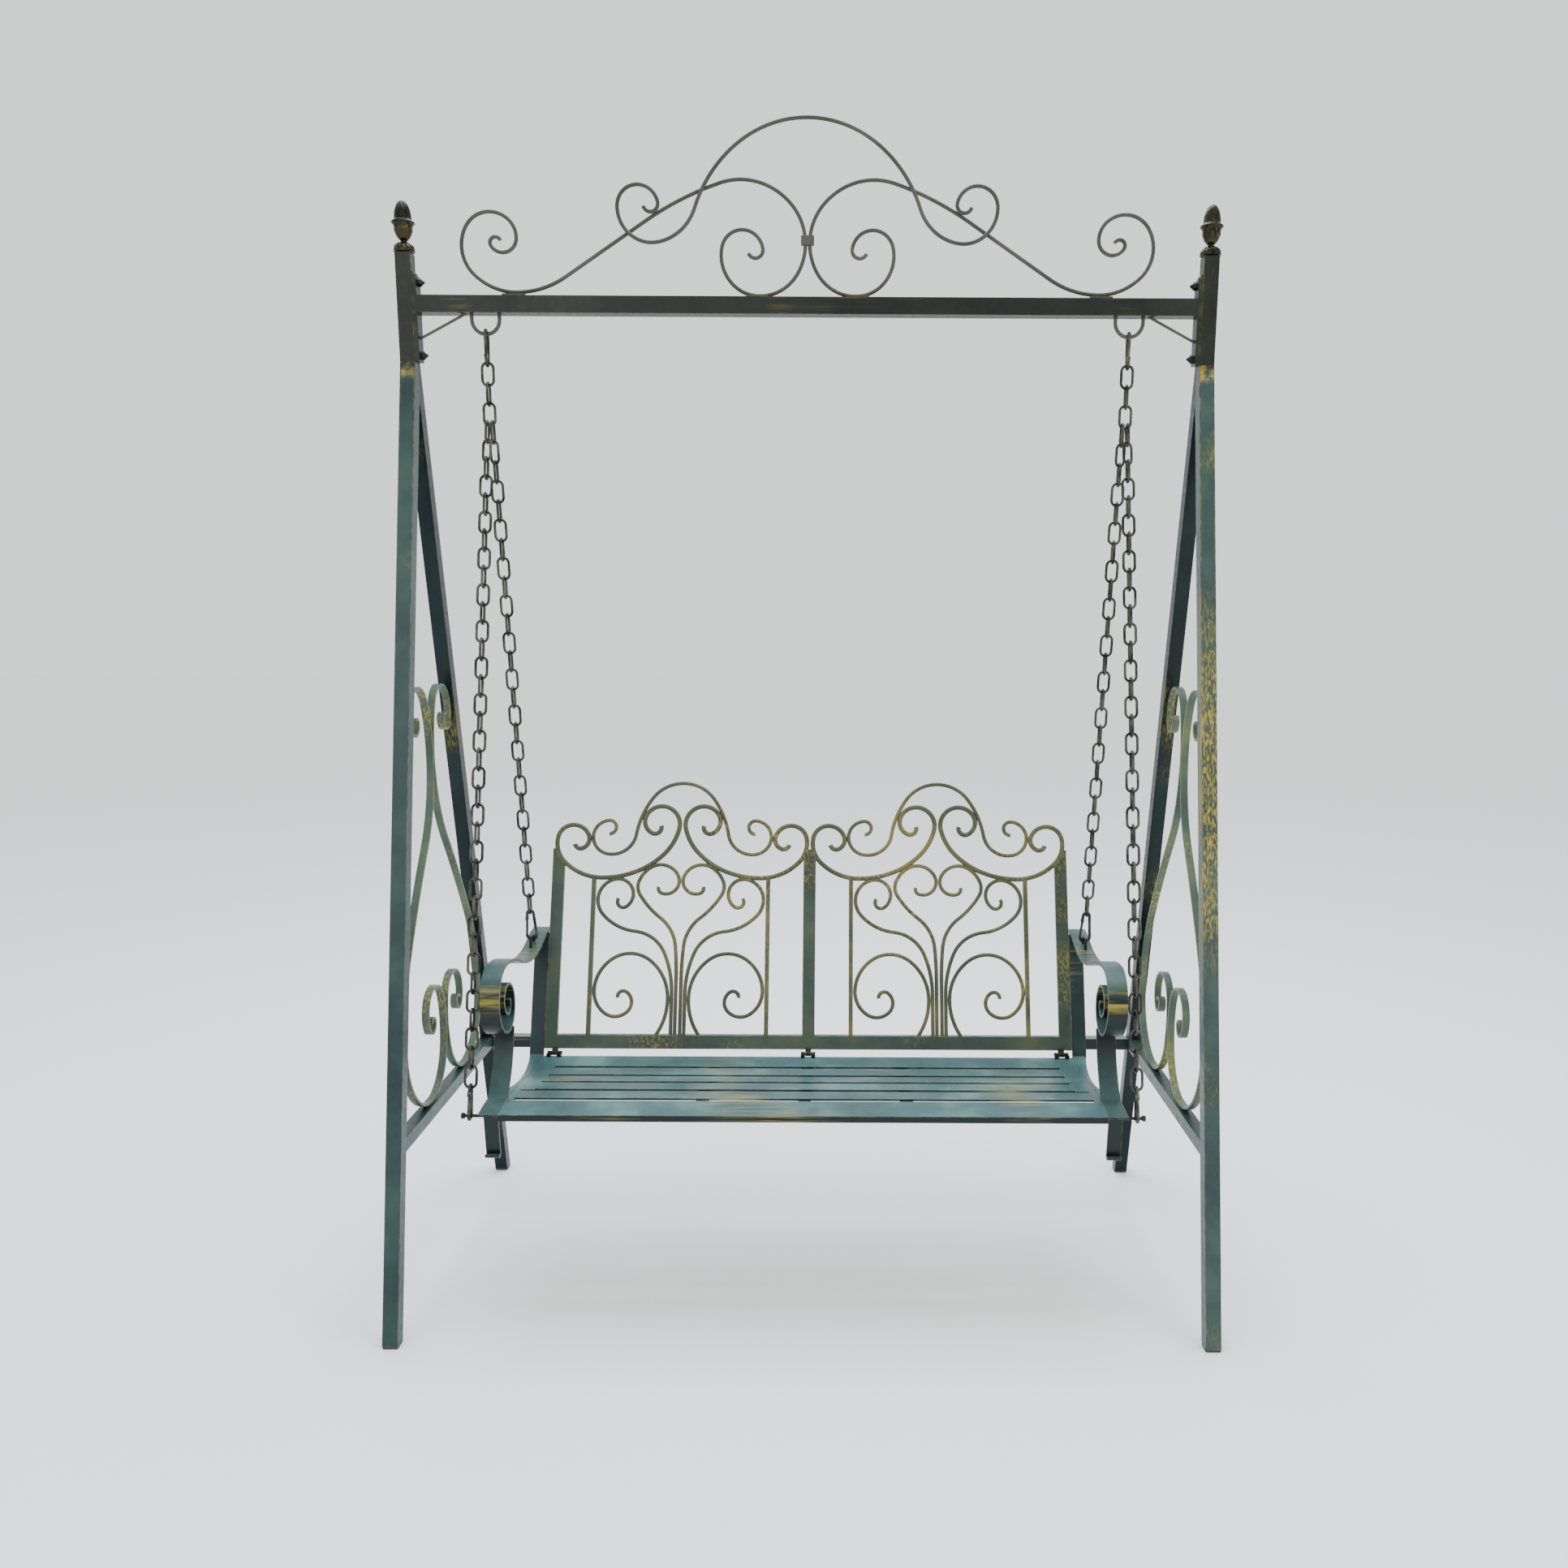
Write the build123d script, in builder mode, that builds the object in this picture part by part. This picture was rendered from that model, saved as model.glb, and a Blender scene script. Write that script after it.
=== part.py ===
# Porch swing: a steel A-frame stand, a two-seat bench on chains, a folding back.
# Millimetres. X runs along the beam, Y from front to rear, Z up; origin on the floor.
import os
from math import asin, atan, cos, radians, sin, tan

from build123d import *

os.makedirs("parts", exist_ok=True)

SIDES = {"left": -1, "right": 1}
ENDS = {"front": -1, "rear": 1}
PLAY = 0.15  # air left between two pieces that bear on each other
SEAM = 0.02  # hairline at a weld between two solids of one piece

# ---- stand ----
LEG_X = 735.0  # leg plane from the middle
TUBE = 28.0
WALL = 1.5
APEX_Z = 1750.0  # where both legs of a side meet under the post
FOOT_Y = 385.0  # leg centre at the floor
FOOT_CAP = 5.0
POST_TOP = 1940.0
BAR = 25.0  # crossbars
BAR_Z = 342.0
BEAM = 30.0
BEAM_Z = 1851.0
BEAM_WALL = 2.0
PLATE = 4.0
PLATE_TOP = 1907.0
PLATE_LOW = 1752.0
BOLT_ZS = (1763.0, 1890.0)
BOLT = 8.0
BOLT_HOLE = 8.2
NUT = 13.0
NUT_HIGH = 6.5
ROD = 7.0  # crest bars and hangers
HANG_X = 592.0
HANG_Z = 1801.0  # centre of the hanger rod at its lowest point
HANG_R = 25.5
BRACE = 5.0

INNER_FACE = LEG_X - TUBE / 2
BEAM_END = INNER_FACE - 2 * PLATE
BEAM_TOP = BEAM_Z + BEAM / 2
BEAM_LOW = BEAM_Z - BEAM / 2
SPLAY_WIDTH = TUBE / 2 / cos(atan(FOOT_Y / APEX_Z))  # half a leg, measured level


def leg_y(z):
    """Leg centre at height z, measured from the middle plane."""
    return FOOT_Y * (1 - z / APEX_Z)


def bar_path(start, heading, arcs, flip=False, lead=0.0):
    """Tangent arcs (radius, turn) in the active line; positive turns go left."""
    x, z = start
    if flip:
        x = -x
        heading = 180 - heading
    if lead:
        tip = (x + lead * cos(radians(heading)), z + lead * sin(radians(heading)))
        Line((x, z), tip)
        x, z = tip
    for radius, turn in arcs:
        if flip:
            turn = -turn
        towards = (cos(radians(heading)), sin(radians(heading)))
        JernArc(start=(x, z), tangent=towards, radius=radius, arc_size=turn)
        side = 1 if turn > 0 else -1
        x -= side * radius * sin(radians(heading))
        z += side * radius * cos(radians(heading))
        heading += turn
        x += side * radius * sin(radians(heading))
        z -= side * radius * cos(radians(heading))


def rod_along(wire, diameter):
    """Round rod swept along a wire, inside the active part."""
    with BuildSketch(Plane(origin=wire @ 0, z_dir=wire % 0)) as section:
        Circle(diameter / 2)
    sweep(sections=section.sketch, path=wire)


def strip_along(wire, width, thick):
    """Flat bar swept along a wire that lies in a plane of constant X."""
    with BuildSketch(Plane(origin=wire @ 0, x_dir=(1, 0, 0), z_dir=wire % 0)) as section:
        Rectangle(width, thick)
    sweep(sections=section.sketch, path=wire)


def save(part, name):
    part.part.label = name
    export_step(part.part, f"parts/{name}.step")


# ---- legs: square tube, both of a side mitred against each other at the apex ----
def leg_outline(end, half, gap, low):
    meet = APEX_Z * (1 - (half + gap) / FOOT_Y)
    return [
        (end * (leg_y(low) + half), low),
        (end * (leg_y(low) - half), low),
        (end * gap, meet),
        (end * gap, APEX_Z),
        (end * (gap + half), APEX_Z),
    ]


for end_name, end in ENDS.items():
    for side_name, side in SIDES.items():
        with BuildPart() as leg:
            with BuildSketch(Plane.YZ.offset(side * LEG_X - TUBE / 2)):
                Polygon(*leg_outline(end, SPLAY_WIDTH, 0, FOOT_CAP), align=None)
            extrude(amount=TUBE)
            with BuildSketch(Plane.YZ.offset(side * LEG_X - TUBE / 2 + WALL)):
                Polygon(*leg_outline(end, SPLAY_WIDTH - WALL, WALL, FOOT_CAP), align=None)
            extrude(amount=TUBE - 2 * WALL, mode=Mode.SUBTRACT)
            if end > 0:
                with BuildSketch(Plane.YZ.offset(side * LEG_X - TUBE)):
                    with Locations((leg_y(BAR_Z), BAR_Z)):
                        Circle(BOLT_HOLE / 2)
                extrude(amount=2 * TUBE, mode=Mode.SUBTRACT)
        save(leg, f"leg_{end_name}_{side_name}")

# ---- plastic caps under the four legs ----
with BuildPart() as foot_caps:
    with BuildSketch():
        with Locations(*[(s * LEG_X, e * leg_y(FOOT_CAP)) for s in (-1, 1) for e in (-1, 1)]):
            RectangleRounded(TUBE, 2 * SPLAY_WIDTH, 2.5)
    extrude(amount=FOOT_CAP)
    chamfer(foot_caps.faces().sort_by(Axis.Z)[:4].edges(), 1.0)
save(foot_caps, "foot_caps")


# ---- level bars low between the legs of each side ----
def between_legs(low, high, half):
    return [
        (-leg_y(low) + half, low),
        (leg_y(low) - half, low),
        (leg_y(high) - half, high),
        (-leg_y(high) + half, high),
    ]


for side_name, side in SIDES.items():
    with BuildPart() as side_bar:
        with BuildSketch(Plane.YZ.offset(side * LEG_X - BAR / 2)):
            Polygon(*between_legs(BAR_Z - BAR / 2, BAR_Z + BAR / 2, SPLAY_WIDTH), align=None)
        extrude(amount=BAR)
        with BuildSketch(Plane.YZ.offset(side * LEG_X - BAR / 2 + WALL)):
            inner = between_legs(BAR_Z - BAR / 2 + WALL, BAR_Z + BAR / 2 - WALL, SPLAY_WIDTH)
            Polygon(*inner, align=None)
        extrude(amount=BAR - 2 * WALL, mode=Mode.SUBTRACT)
    save(side_bar, f"side_bar_{side_name}")

# ---- long bar between the rear legs, closed ends, one bolt through each leg ----
END_PLUG = 6.0
with BuildPart() as rear_bar:
    with Locations((0, leg_y(BAR_Z), BAR_Z)):
        Box(2 * INNER_FACE, BAR, BAR)
        Box(2 * (INNER_FACE - END_PLUG), BAR - 2 * WALL, BAR - 2 * WALL, mode=Mode.SUBTRACT)
        Cylinder(BOLT_HOLE / 2, 2 * INNER_FACE, rotation=(0, 90, 0), mode=Mode.SUBTRACT)
save(rear_bar, "rear_bar")

# ---- posts over the apexes, bored for the plate bolts ----
for side_name, side in SIDES.items():
    with BuildPart() as post:
        with Locations((side * LEG_X, 0, (APEX_Z + POST_TOP) / 2)):
            Box(TUBE, TUBE, POST_TOP - APEX_Z)
            Box(TUBE - 2 * WALL, TUBE - 2 * WALL, POST_TOP - APEX_Z, mode=Mode.SUBTRACT)
        with Locations(*[(side * INNER_FACE, 0, z) for z in BOLT_ZS]):
            Cylinder(BOLT_HOLE / 2, TUBE / 2, rotation=(0, 90, 0), mode=Mode.SUBTRACT)
    save(post, f"post_{side_name}")

# ---- cast finials: a domed cap, a thin neck, a cup and an acorn ----
CAP_R = 19.5
CAP_HIGH = 14.0
NECK_R = 5.0
CUP_R = 17.0
FLANGE_R = 21.5
ACORN_R = 15.0
CUP_Z = POST_TOP + 18
FLANGE_Z = POST_TOP + 51
ACORN_TOP = 2031.0

for side_name, side in SIDES.items():
    with BuildPart() as finial:
        with BuildSketch(Plane.XZ):
            with BuildLine():
                Polyline((0, POST_TOP), (CAP_R, POST_TOP), (CAP_R, POST_TOP + 4))
                ThreePointArc(
                    (CAP_R, POST_TOP + 4),
                    (CAP_R - 5, POST_TOP + 11.5),
                    (NECK_R, POST_TOP + CAP_HIGH),
                )
                Line((NECK_R, POST_TOP + CAP_HIGH), (NECK_R, CUP_Z))
                ThreePointArc((NECK_R, CUP_Z), (CUP_R - 3.5, CUP_Z + 13), (CUP_R, FLANGE_Z - 3))
                Polyline((CUP_R, FLANGE_Z - 3), (FLANGE_R, FLANGE_Z), (FLANGE_R, FLANGE_Z + 2))
                Polyline((FLANGE_R, FLANGE_Z + 2), (ACORN_R + 1, FLANGE_Z + 5))
                ThreePointArc(
                    (ACORN_R + 1, FLANGE_Z + 5),
                    (ACORN_R - 3.5, FLANGE_Z + 24),
                    (3, ACORN_TOP - 1.5),
                )
                Polyline((3, ACORN_TOP - 1.5), (0, ACORN_TOP), (0, POST_TOP))
            make_face()
        revolve(axis=Axis.Z)
    finial.part.position = (side * LEG_X, 0, 0)
    save(finial, f"finial_{side_name}")

# ---- plates between posts and beam: one welded to each, bolted face to face ----
for name, near, top in (("post_plates", 0, PLATE_TOP), ("beam_plates", 1, PLATE_TOP - 6)):
    with BuildPart() as plates:
        for side in (-1, 1):
            with Locations((side * (INNER_FACE - (near + 0.5) * PLATE), 0, (PLATE_LOW + top) / 2)):
                Box(PLATE, TUBE, top - PLATE_LOW)
            with Locations(*[(side * INNER_FACE, 0, z) for z in BOLT_ZS]):
                Cylinder(BOLT_HOLE / 2, 6 * PLATE, rotation=(0, 90, 0), mode=Mode.SUBTRACT)
    save(plates, name)

BOLT_REACH = TUBE + END_PLUG + 4
with BuildPart() as frame_bolts:
    for side in (-1, 1):
        for z in BOLT_ZS:
            with Locations((side * (BEAM_END + 7), 0, z)):
                Cylinder(BOLT / 2, 14, rotation=(0, 90, 0))
            with BuildSketch(Plane(origin=(side * BEAM_END, 0, z), z_dir=(-side, 0, 0))):
                RegularPolygon(NUT / 2, 6, major_radius=False)
            extrude(amount=NUT_HIGH)
            with Locations(Plane(origin=(side * (BEAM_END - NUT_HIGH), 0, z), z_dir=(-side, 0, 0))):
                Cone(NUT / 2 - 0.8, 1.6, 6, align=(Align.CENTER, Align.CENTER, Align.MIN))
        outer = side * (LEG_X + TUBE / 2)
        with Locations((outer - side * BOLT_REACH / 2, leg_y(BAR_Z), BAR_Z)):
            Cylinder(BOLT / 2, BOLT_REACH, rotation=(0, 90, 0))
        with BuildSketch(Plane(origin=(outer, leg_y(BAR_Z), BAR_Z), z_dir=(side, 0, 0))):
            RegularPolygon(NUT / 2, 6, major_radius=False)
        extrude(amount=NUT_HIGH - 1)
save(frame_bolts, "frame_bolts")

# ---- beam: square tube with closed ends, welded to its plates ----
with BuildPart() as beam:
    with Locations((0, 0, BEAM_Z)):
        Box(2 * BEAM_END, BEAM, BEAM)
        Box(2 * BEAM_END, BEAM - 2 * BEAM_WALL, BEAM - 2 * BEAM_WALL, mode=Mode.SUBTRACT)
save(beam, "beam")

# ---- thin braces from the plates to the beam, beside the hangers ----
BRACE_Z = 1793.0
BRACE_X = HANG_X + HANG_R + ROD / 2 + 8
with BuildPart() as braces:
    for side in (-1, 1):
        foot = Vector(side * BEAM_END, 0, BRACE_Z)
        head = Vector(side * BRACE_X, 0, BEAM_LOW)
        run = (head - foot).normalized()
        with BuildSketch(Plane(origin=foot - run * 10, z_dir=run)):
            Circle(BRACE / 2)
        extrude(amount=(head - foot).length + 20)
    span = Box(2 * BEAM_END, BEAM, BEAM_LOW - BRACE_Z + 20, mode=Mode.PRIVATE)
    add(Pos(0, 0, (BEAM_LOW + BRACE_Z - 20) / 2) * span, mode=Mode.INTERSECT)
save(braces, "braces")

# ---- hangers: two U of round rod welded under the beam ----
with BuildPart() as hangers:
    for side in (-1, 1):
        with BuildLine(Plane.XZ) as line:
            start = (side * HANG_X - HANG_R, BEAM_LOW)
            finish = (side * HANG_X + HANG_R, BEAM_LOW)
            bar_path(start, 270, [(HANG_R, 180)], lead=BEAM_LOW - HANG_Z - HANG_R)
            Line((finish[0], HANG_Z + HANG_R), finish)
        rod_along(line.wire(), ROD)
save(hangers, "hangers")

# ---- crest over the beam: a wide arch in front, two long scrolls behind it ----
CREST_TOP = 2171.0
CREST_OFFSET = ROD / 2 + 0.05  # arch and scrolls lie side by side, half a rod each way
ARCH_HALF = [(206, 36), (233, 35), (88, -63), (61, -98), (37.2, -168), (13.6, -172)]
SCROLL_MIDDLE = (-294, 1999)
SCROLL_SLOPE = 33
SCROLL_INNER = [(574, -15), (122, -68), (101, -67), (81, -71), (69, -94), (38, -160), (13.9, -162)]
SCROLL_STRAIGHT = 177.5
SCROLL_OUTER = [(168, -33), (111, -43), (67, -77), (51, -96), (42, -55), (25.6, -144), (10.1, -189)]

with BuildPart() as crest_arch:
    for flip in (False, True):
        with BuildLine(Plane.XZ.offset(CREST_OFFSET)) as line:
            bar_path((0, CREST_TOP), 180, ARCH_HALF, flip)
        rod_along(line.wire(), ROD)
save(crest_arch, "crest_arch")

crest_scrolls = {}
for side_name, side in SIDES.items():
    with BuildPart() as crest_scroll:
        with BuildLine(Plane.XZ.offset(-CREST_OFFSET)) as line:
            bar_path(SCROLL_MIDDLE, SCROLL_SLOPE, SCROLL_INNER, side > 0)
        rod_along(line.wire(), ROD)
        with BuildLine(Plane.XZ.offset(-CREST_OFFSET)) as line:
            bar_path(SCROLL_MIDDLE, SCROLL_SLOPE + 180, SCROLL_OUTER, side > 0, lead=SCROLL_STRAIGHT)
        rod_along(line.wire(), ROD)
    save(crest_scroll, f"crest_scroll_{side_name}")
    crest_scrolls[side_name] = crest_scroll.part

PAD_XS = (92, 539)
PAD = (42, 11, 6)
CLASP = (24, 11, 16)
CLASP_Z = 1966.0
CRUMB = 50.0  # smallest piece of a cut that is kept, cubic millimetres
with BuildPart() as crest_pads:
    with Locations(*[(s * x, CREST_OFFSET, BEAM_TOP + PAD[2] / 2) for s in (-1, 1) for x in PAD_XS]):
        Box(*PAD)
    with Locations((0, CREST_OFFSET, CLASP_Z)):
        Box(*CLASP)
    for scroll in crest_scrolls.values():
        add(scroll, mode=Mode.SUBTRACT)
# what lies above or inside the scrolls after the cut is not part of a pad
with BuildPart() as crest_welds:
    for solid in crest_pads.part.solids():
        height = solid.center().Z
        under_scroll = height < BEAM_TOP + PAD[2] / 2 or height > CLASP_Z - CLASP[2]
        if under_scroll and solid.volume > CRUMB:
            add(solid)
save(crest_welds, "crest_welds")

# ---- lyre of flat bar on each side bar, two mirrored halves tied at the waist ----
LYRE_BAR = (14.0, 5.0)
LYRE_WAIST = (2.9, 1024)
LYRE_UP = [(258, -23), (52, -118), (53, -65), (22.6, -143), (11, -150)]
LYRE_DOWN = [
    (277, 39),
    (1796, -7),
    (338, -32),
    (135, -81),
    (104, -80),
    (179, -36),
    (50, -198),
    (17.6, -140),
    (11.5, -170),
]
for side_name, side in SIDES.items():
    with BuildPart() as lyre:
        for flip in (False, True):
            for heading, arcs in ((90, LYRE_UP), (270, LYRE_DOWN)):
                with BuildLine(Plane.YZ.offset(side * LEG_X)) as line:
                    bar_path(LYRE_WAIST, heading, arcs, flip)
                strip_along(line.wire(), *LYRE_BAR)
    save(lyre, f"side_scroll_{side_name}")


# ---- chain: oval links of round wire, and snap hooks ----
WIRE = 5.0
LINK_SPAN = 40.65  # wire centre to wire centre along a link
LINK_BEND = 10.5  # bend radius of a link's ends, wire centre
HOOK_WIRE = 6.0
HOOK_BIG = 10.0
HOOK_SMALL = 6.5
HOOK_SPAN = 46.0  # between the centres of the two bends
HOOK_PLAY = 0.6
SNAP_R = 3.2  # round cheeks at the gate's hinge
SNAP_PIN = 1.0
SNAP_BORE = 1.07
SNAP_AT = 37.5  # gate hinge along the hook
GATE_WIRE = 5.0
JUNCTION_RISE = 8.1  # top of a strand's first link over the junction link's wire
STRAND_SHIFT = 4.7  # the two strands hang side by side on the junction link


def link_at(plane):
    """One link centred on a plane, long along its y, flat in its xy."""
    straight = LINK_SPAN / 2 - LINK_BEND
    with BuildLine(plane) as line:
        Line((LINK_BEND, -straight), (LINK_BEND, straight))
        JernArc(start=(LINK_BEND, straight), tangent=(0, 1), radius=LINK_BEND, arc_size=180)
        Line((-LINK_BEND, straight), (-LINK_BEND, -straight))
        JernArc(start=(-LINK_BEND, -straight), tangent=(0, -1), radius=LINK_BEND, arc_size=180)
    wire = line.wire()
    with BuildSketch(Plane(origin=wire @ 0, z_dir=wire % 0)) as section:
        Circle(WIRE / 2)
    sweep(sections=section.sketch, path=wire)


def strand_plane(origin, run, twist):
    """Plane at a point of a strand: y along it, x turned by twist from sideways."""
    across = Vector(1, 0, 0) - run * run.X
    turned = across.normalized().rotate(Axis((0, 0, 0), run), twist)
    return Plane(origin=origin, x_dir=turned, z_dir=turned.cross(run))


def hook_reach(rod):
    """Distance from the carried rod's centre to the wire of the first link."""
    to_small_end = HOOK_SPAN + HOOK_SMALL + HOOK_BIG - (rod + HOOK_WIRE) / 2 - HOOK_PLAY
    return to_small_end - (HOOK_WIRE + WIRE) / 2 - PLAY


def hook_shape(rod):
    """Bend centres, tangent slope and gate line, with the rod's centre at (0, 0)."""
    big = HOOK_BIG - (rod + HOOK_WIRE) / 2 - HOOK_PLAY
    slope = asin((HOOK_BIG - HOOK_SMALL) / HOOK_SPAN)
    return big, big + HOOK_SPAN, slope


def gate_point(rod, along):
    """Point on the straight gate side of the hook at a distance along it."""
    big, _, slope = hook_shape(rod)
    foot = (-HOOK_BIG * cos(slope), big + HOOK_BIG * sin(slope))
    return (foot[0] + (along - foot[1]) * tan(slope), along)


def make_hook(plane, rod):
    """Snap hook body: wide end on the rod at the plane's origin, small end up y."""
    big, small, slope = hook_shape(rod)
    c, s = cos(slope), sin(slope)
    hinge = gate_point(rod, SNAP_AT)
    wire_end = gate_point(rod, SNAP_AT + 4)
    with BuildPart() as hook:
        with BuildLine(plane) as line:
            ThreePointArc(
                (-HOOK_BIG * c, big + HOOK_BIG * s),
                (0, big - HOOK_BIG),
                (HOOK_BIG * c, big + HOOK_BIG * s),
            )
            Line((HOOK_BIG * c, big + HOOK_BIG * s), (HOOK_SMALL * c, small + HOOK_SMALL * s))
            ThreePointArc(
                (HOOK_SMALL * c, small + HOOK_SMALL * s),
                (0, small + HOOK_SMALL),
                (-HOOK_SMALL * c, small + HOOK_SMALL * s),
            )
            Line((-HOOK_SMALL * c, small + HOOK_SMALL * s), wire_end)
        rod_along(line.wire(), HOOK_WIRE)
        for lower, upper in ((-3.0, -1.8), (1.8, 3.0)):
            with BuildSketch(plane.offset(lower)):
                with Locations(hinge):
                    Circle(SNAP_R)
                with Locations(((hinge[0] + wire_end[0]) / 2, (hinge[1] + wire_end[1]) / 2 + 1)):
                    Rectangle(2 * SNAP_R - 0.8, 6)
            extrude(amount=upper - lower)
        with BuildSketch(plane.offset(-2.4)):
            with Locations(hinge):
                Circle(SNAP_PIN)
        extrude(amount=4.8)
    return hook


def make_gate(plane, rod):
    """Spring gate from its hinge down to the hook's nose."""
    big, _, slope = hook_shape(rod)
    hinge = gate_point(rod, SNAP_AT)
    tip = gate_point(rod, big + HOOK_BIG * sin(slope) + 0.6)
    run = (Vector(tip[0], tip[1], 0) - Vector(hinge[0], hinge[1], 0)).normalized()
    with BuildPart() as gate:
        with BuildSketch(plane.offset(-1.4)):
            with Locations(hinge):
                Circle(SNAP_R)
        extrude(amount=2.8)
        start = plane.from_local_coords(Vector(hinge[0], hinge[1], 0))
        finish = plane.from_local_coords(Vector(tip[0], tip[1], 0))
        towards = (finish - start).normalized()
        # the round gate begins clear of the hook's cheeks; a flat neck joins it to the eye
        with BuildSketch(Plane(origin=start + towards * (SNAP_R + 0.5), z_dir=towards)):
            Circle(GATE_WIRE / 2)
        extrude(amount=(finish - start).length - SNAP_R - 0.5)
        with BuildSketch(plane.offset(-1.4)):
            with BuildLine():
                side_step = Vector(-run.Y, run.X) * 2.2
                a = Vector(hinge[0], hinge[1]) + run * 1.6
                b = Vector(hinge[0], hinge[1]) + run * (SNAP_R + 2)
                Polyline(a + side_step, b + side_step, b - side_step, a - side_step, a + side_step)
            make_face()
        extrude(amount=2.8)
        with BuildSketch(plane.offset(-2)):
            with Locations(hinge):
                Circle(SNAP_BORE)
        extrude(amount=4, mode=Mode.SUBTRACT)
    return gate


JUNCTION_Z = HANG_Z - hook_reach(ROD) - 3 * LINK_SPAN + 2 * (WIRE + PLAY)

for side_name, side in SIDES.items():
    # wide end of the top hook over the hanger, gate towards the front
    top_plane = Plane(origin=(side * HANG_X, 0, HANG_Z), x_dir=(0, 1, 0), z_dir=(-1, 0, 0))
    save(make_hook(top_plane, ROD), f"top_hook_{side_name}")
    save(make_gate(top_plane, ROD), f"top_gate_{side_name}")
    with BuildPart() as top_links:
        upper = HANG_Z - hook_reach(ROD)
        for index in range(3):
            middle = upper - index * (LINK_SPAN - WIRE - PLAY) - LINK_SPAN / 2
            link_at(strand_plane(Vector(side * HANG_X, 0, middle), Vector(0, 0, 1), 90 * (index % 2)))
    save(top_links, f"top_links_{side_name}")

# ---- bench: sheet profile shared by the seat pieces (Y, Z), crest near the front ----
SHEET = 4.0
SEAT_FRONT = (-300.0, 403.2)
SEAT_RISE = 8.86
SEAT_CURVE = [(487, -8.86), (778, -8.5), (778, 8.5), (778, 4.2)]
SEAT_REAR = 54.0
SEAT_HALF = 551.7
FRONT_RAIL = -240.0  # rear edge of the front rail
REAR_RAIL = -4.0
SLOT = 12.0
WINDOW_FRONT = 538.0
WINDOW_REAR = 512.0
WINDOW_STEP = -182.0
SLATS = ((-228, -188), (-176, -130), (-118, -73), (-61, -16))
STRAP = (552.0, 588.0)  # arm support, from the middle
SIDE_BAR = (551.0, 580.0)
CREASE_Y = -228.0


def seat_sheet(half_width, drop=0.0):
    """Bent sheet under the seat profile, as a loose solid for cutting pieces from."""
    with BuildPart() as sheet:
        with BuildLine(Plane.YZ) as line:
            bar_path(SEAT_FRONT, SEAT_RISE, SEAT_CURVE)
        wire = line.wire()
        with BuildSketch(Plane(origin=wire @ 0, x_dir=(1, 0, 0), z_dir=wire % 0)) as section:
            with Locations((0, SHEET / 2 + drop)):
                Rectangle(2 * half_width, SHEET)
        sweep(sections=section.sketch, path=wire)
    return sheet.part


def upright_block(x0, x1, y0, y1):
    """Tall block over a plan rectangle, for cutting the seat sheet."""
    block = Box(abs(x1 - x0), abs(y1 - y0), 120, mode=Mode.PRIVATE)
    return Pos((x0 + x1) / 2, (y0 + y1) / 2, SEAT_FRONT[1]) * block


SHEET_WIDE = seat_sheet(600)
SHEET_UNDER = seat_sheet(600, SHEET + SEAM)

with BuildPart() as seat_frame:
    add(SHEET_WIDE)
    add(upright_block(-SEAT_HALF, SEAT_HALF, SEAT_FRONT[0] - 5, SEAT_REAR), mode=Mode.INTERSECT)
    add(upright_block(-WINDOW_FRONT, WINDOW_FRONT, FRONT_RAIL, WINDOW_STEP), mode=Mode.SUBTRACT)
    add(upright_block(-WINDOW_REAR, WINDOW_REAR, WINDOW_STEP, REAR_RAIL), mode=Mode.SUBTRACT)
    with Locations((0, SEAT_FRONT[0] + SHEET / 2, SEAT_FRONT[1] - 6.5)):
        Box(2 * SEAT_HALF, SHEET, 11)
    # weld lines part the frame into two rails and two side strips
    for line_y in (FRONT_RAIL, REAR_RAIL):
        add(upright_block(-600, 600, line_y - SEAM, line_y), mode=Mode.SUBTRACT)
save(seat_frame, "seat_frame")

with BuildPart() as seat_slats:
    for low_y, high_y in SLATS:
        half = WINDOW_FRONT if high_y <= WINDOW_STEP else WINDOW_REAR
        add(SHEET_WIDE.intersect(upright_block(-half, half, low_y, high_y)))
save(seat_slats, "seat_slats")

UNDER_STRAP = 24.0
UNDER_XS = (-190, 0, 190)
with BuildPart() as seat_straps:
    for x in UNDER_XS:
        piece = upright_block(x - UNDER_STRAP / 2, x + UNDER_STRAP / 2, -280, SEAT_REAR - 14)
        add(SHEET_UNDER.intersect(piece))
save(seat_straps, "seat_straps")

# ---- reclining plane of the back: x along the seat, y up the back, normal to the front ----
RECLINE = 20.9
BACK_FOOT = (66.0, 400.0)
BACK = Plane(
    origin=(0, *BACK_FOOT),
    x_dir=(1, 0, 0),
    z_dir=(0, -cos(radians(RECLINE)), sin(radians(RECLINE))),
)
BACK_THICK = 8.0

# ---- armrests: one strip from the side bar's head to a scroll over the front ----
ARM_THICK = 5.0
ARM_REAR = (176.0, 637.0)
ARM_CURVE = [(200, 17.6), (312, -17.6), (300, -21.9), (268, 21.9), (64, 180), (45, 180), (28, 180), (16, 120)]
ARM_MIDDLE = (STRAP[0] + STRAP[1]) / 2
STRAP_WIDE = STRAP[1] - STRAP[0]
STAPLE_Y = 88.0
STAPLE_ROD = 6.0
STAPLE_X = 572.0
STAPLE_Z = 640.0  # bar of the staple that carries the rear hook
STAPLE_HALF = 14.0

arms = {}
for side_name, side in SIDES.items():
    with BuildPart() as armrest:
        with BuildLine(Plane.YZ.offset(side * ARM_MIDDLE)) as line:
            bar_path(ARM_REAR, 180, ARM_CURVE)
        strip_along(line.wire(), STRAP_WIDE, ARM_THICK)
    save(armrest, f"armrest_{side_name}")
    arms[side_name] = armrest.part

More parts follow.
